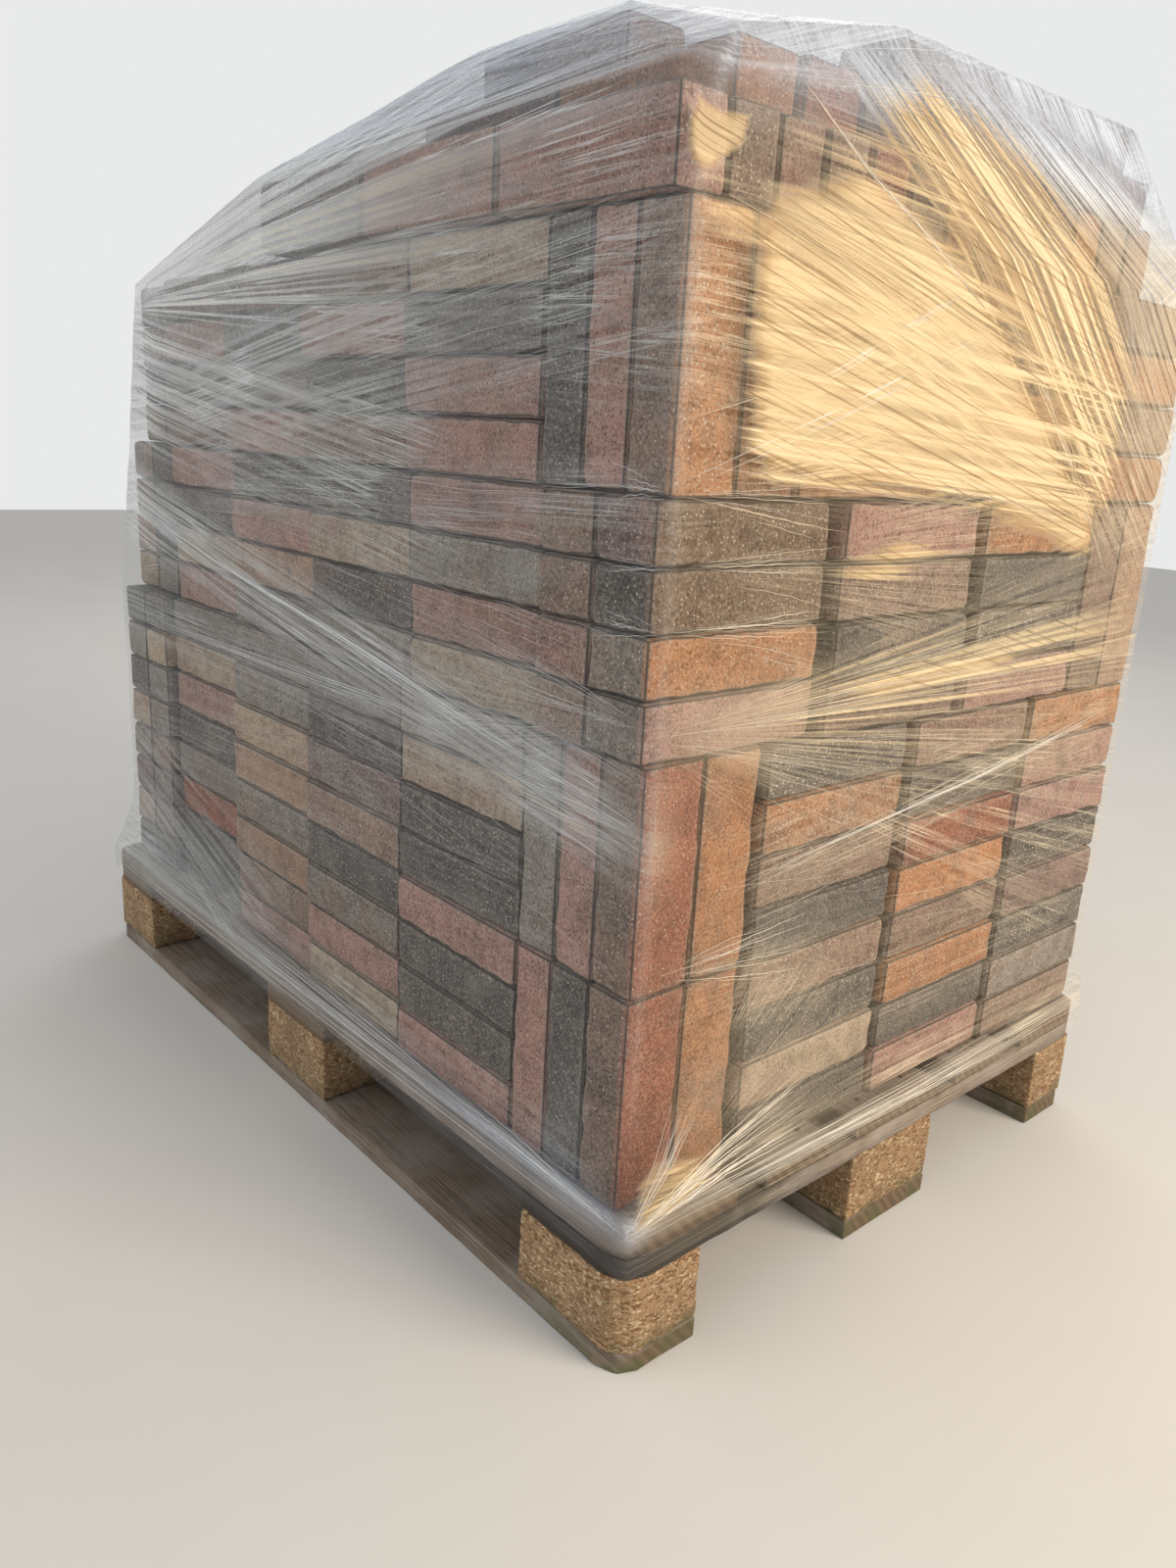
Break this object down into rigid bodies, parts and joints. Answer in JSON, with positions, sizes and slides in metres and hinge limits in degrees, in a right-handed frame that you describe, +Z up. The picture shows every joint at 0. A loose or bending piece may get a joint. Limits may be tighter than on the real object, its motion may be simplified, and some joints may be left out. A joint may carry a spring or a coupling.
{
  "type": "pallet of bricks",
  "caption": "Four-way wooden block pallet stacked with tumbled concrete paving bricks in tiers, wrapped in clear stretch film.",
  "frame": {"origin": "on the floor, under the middle of the pallet", "axes": "+X along the pallet's 1200 mm length, +Y across it, +Z up"},
  "size_m": [1.203, 0.803, 1.1507],
  "materials": {
    "weathered_board": "rough sawn, weathered",
    "chip_block": "pressed chips",
    "brick": "tumbled, rough",
    "film": "clear, wrinkled"
  },
  "bodies": {
    "root": {"block_1_1": "chip_block", "block_1_2": "chip_block", "block_1_3": "chip_block", "block_2_1": "chip_block", "block_2_2": "chip_block", "block_2_3": "chip_block", "block_3_1": "chip_block", "block_3_2": "chip_block", "block_3_3": "chip_block", "brick_core": "brick", "cross_board_1": "weathered_board", "cross_board_2": "weathered_board", "cross_board_3": "weathered_board", "deck_board_1": "weathered_board", "deck_board_2": "weathered_board", "deck_board_3": "weathered_board", "deck_board_4": "weathered_board", "deck_board_5": "weathered_board", "skid_board_1": "weathered_board", "skid_board_2": "weathered_board", "skid_board_3": "weathered_board", "stretch_film": "film", "tier_1_far_end": "brick", "tier_1_far_side": "brick", "tier_1_near_end": "brick", "tier_1_near_side": "brick", "tier_2_far_end": "brick", "tier_2_far_side": "brick", "tier_2_near_end": "brick", "tier_2_near_side": "brick", "tier_3_far_end": "brick", "tier_3_far_side": "brick", "tier_3_near_end": "brick", "tier_3_near_side": "brick", "tier_4_far_end": "brick", "tier_4_far_side": "brick", "tier_4_middle_course": "brick", "tier_4_near_end": "brick", "tier_4_near_side": "brick", "top_layer_loose": "brick", "top_layer_on_edge": "brick"}
  },
  "joints": []
}
